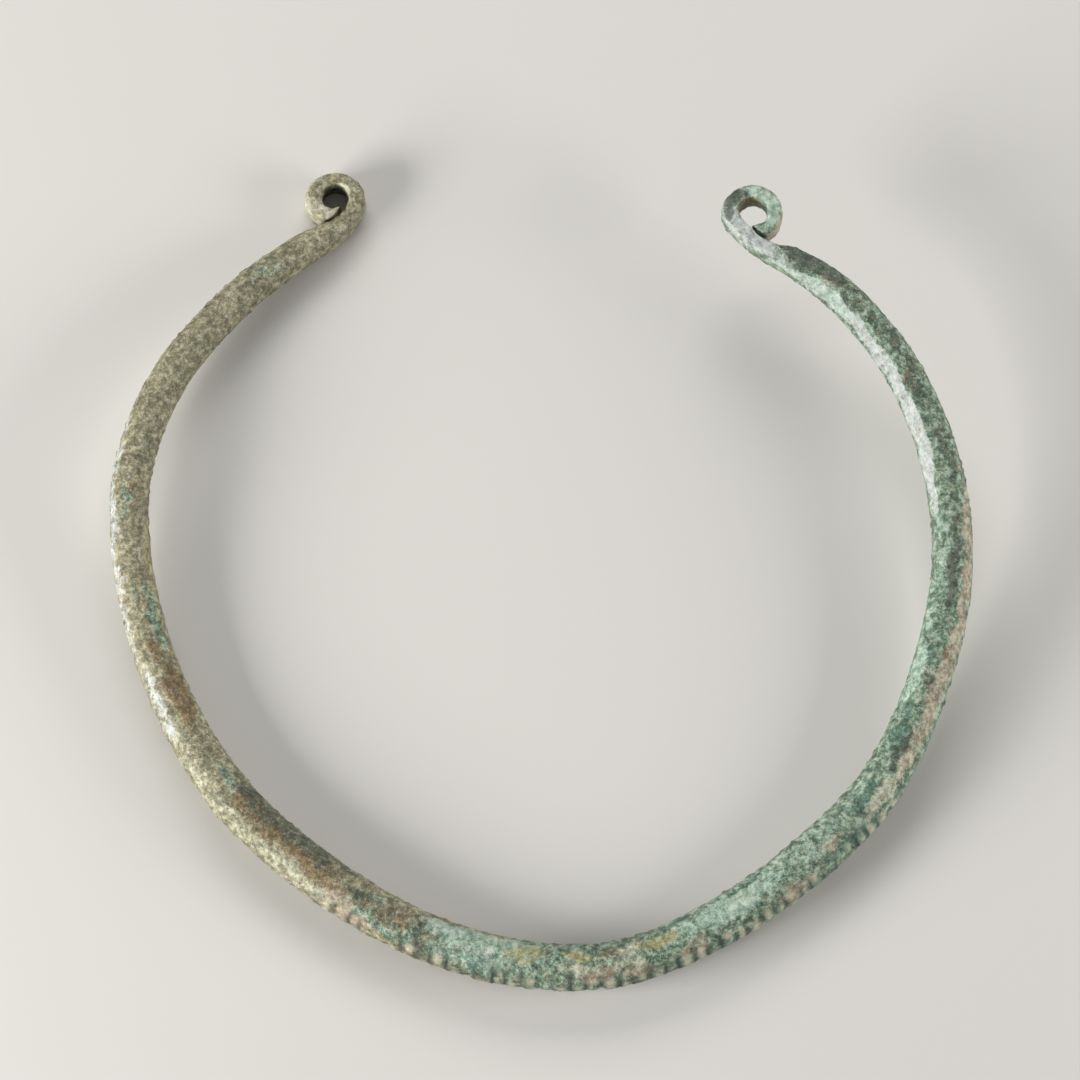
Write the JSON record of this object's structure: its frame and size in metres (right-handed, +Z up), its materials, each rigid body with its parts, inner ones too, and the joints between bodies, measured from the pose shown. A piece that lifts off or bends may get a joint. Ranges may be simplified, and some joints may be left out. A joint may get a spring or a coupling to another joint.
{
  "type": "bronze neck ring",
  "caption": "Open neck ring of one tapering bronze bar with transverse grooves at the front and both ends rolled outward into small eyes.",
  "frame": {"origin": "centre of the ring's box in plan, on the surface that the ring lies on", "axes": "+Z up from that surface; +Y from the thick front of the ring to its two rolled ends; +X to the right seen from above with the ends at the top"},
  "size_m": [0.1496, 0.1502, 0.0177],
  "materials": {
    "bronze": "old corroded bronze: matt to satin patina mottled in olive, grey-green, teal, cream and rust brown, with pale rubbed edges"
  },
  "bodies": {
    "root": {"torc": "bronze"}
  },
  "joints": []
}
